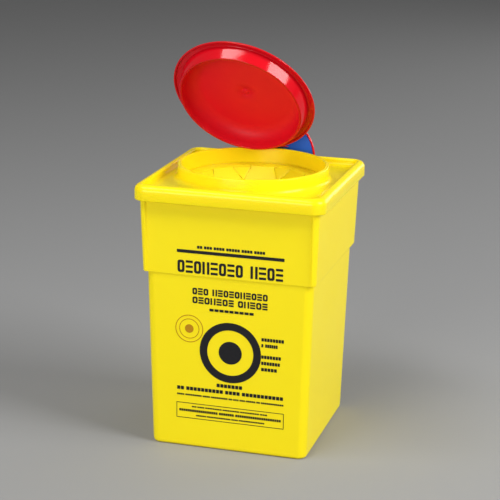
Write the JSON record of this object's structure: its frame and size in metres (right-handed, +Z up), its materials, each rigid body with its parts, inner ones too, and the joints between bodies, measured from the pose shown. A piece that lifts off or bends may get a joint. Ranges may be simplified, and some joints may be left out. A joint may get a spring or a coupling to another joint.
{
  "type": "sharps container",
  "caption": "Square tapered sharps bin with a snapped-on cover, round collar, sprung guard fingers in the throat and a tethered round cap.",
  "frame": {"origin": "centre of the flat base, on the surface that the container stands on", "axes": "+Z up, front (the printed side) towards -Y, +X to the right as seen from the front; the hinge plate is at +Y"},
  "size_m": [0.1305, 0.13, 0.271],
  "materials": {
    "tub_yellow": "injection-moulded polypropylene, bright yellow, satin gloss",
    "cover_yellow": "injection-moulded polypropylene, bright yellow, glossy",
    "guard_yellow": "moulded polyethylene, bright yellow, flexible",
    "cap_red": "injection-moulded polypropylene, signal red, glossy",
    "strap_red": "moulded polypropylene strap, signal red",
    "face_blue": "moulded polypropylene disc, blue, satin"
  },
  "bodies": {
    "base": {"tub": "tub_yellow", "top_cover": "cover_yellow", "guard_ring": "guard_yellow", "hinge_plate": "cap_red", "plate_face": "face_blue", "cap_strap": "strap_red"},
    "cap": {"cap": "cap_red"},
    "finger_1": {"guard_finger_1": "guard_yellow"},
    "finger_2": {"guard_finger_2": "guard_yellow"},
    "finger_3": {"guard_finger_3": "guard_yellow"},
    "finger_4": {"guard_finger_4": "guard_yellow"},
    "finger_5": {"guard_finger_5": "guard_yellow"},
    "finger_6": {"guard_finger_6": "guard_yellow"},
    "finger_7": {"guard_finger_7": "guard_yellow"},
    "finger_8": {"guard_finger_8": "guard_yellow"}
  },
  "joints": [
    {"name": "cap_open", "type": "hinge", "parent": "base", "child": "cap", "pos_m": [0, 0.05076, 0.18804], "axis": [-0.9491, -0.0764, -0.3057], "range_deg": [-57.8, 8]},
    {"name": "finger_1_bend", "type": "hinge", "parent": "base", "child": "finger_1", "pos_m": [0.03632, 0.00363, 0.1763], "axis": [0.0993, -0.9951, 0], "range_deg": [0, 35], "stiffness_Nm_per_rad": 0.02},
    {"name": "finger_2_bend", "type": "hinge", "parent": "base", "child": "finger_2", "pos_m": [0.02312, 0.02824, 0.1763], "axis": [0.7738, -0.6334, 0], "range_deg": [0, 35], "stiffness_Nm_per_rad": 0.02},
    {"name": "finger_3_bend", "type": "hinge", "parent": "base", "child": "finger_3", "pos_m": [-0.00363, 0.03632, 0.1763], "axis": [0.9951, 0.0993, 0], "range_deg": [0, 35], "stiffness_Nm_per_rad": 0.02},
    {"name": "finger_4_bend", "type": "hinge", "parent": "base", "child": "finger_4", "pos_m": [-0.02824, 0.02312, 0.1763], "axis": [0.6334, 0.7738, 0], "range_deg": [0, 35], "stiffness_Nm_per_rad": 0.02},
    {"name": "finger_5_bend", "type": "hinge", "parent": "base", "child": "finger_5", "pos_m": [-0.03632, -0.00363, 0.1763], "axis": [-0.0993, 0.9951, 0], "range_deg": [0, 35], "stiffness_Nm_per_rad": 0.02},
    {"name": "finger_6_bend", "type": "hinge", "parent": "base", "child": "finger_6", "pos_m": [-0.02312, -0.02824, 0.1763], "axis": [-0.7738, 0.6334, 0], "range_deg": [0, 35], "stiffness_Nm_per_rad": 0.02},
    {"name": "finger_7_bend", "type": "hinge", "parent": "base", "child": "finger_7", "pos_m": [0.00363, -0.03632, 0.1763], "axis": [-0.9951, -0.0993, 0], "range_deg": [0, 35], "stiffness_Nm_per_rad": 0.02},
    {"name": "finger_8_bend", "type": "hinge", "parent": "base", "child": "finger_8", "pos_m": [0.02824, -0.02312, 0.1763], "axis": [-0.6334, -0.7738, 0], "range_deg": [0, 35], "stiffness_Nm_per_rad": 0.02}
  ]
}
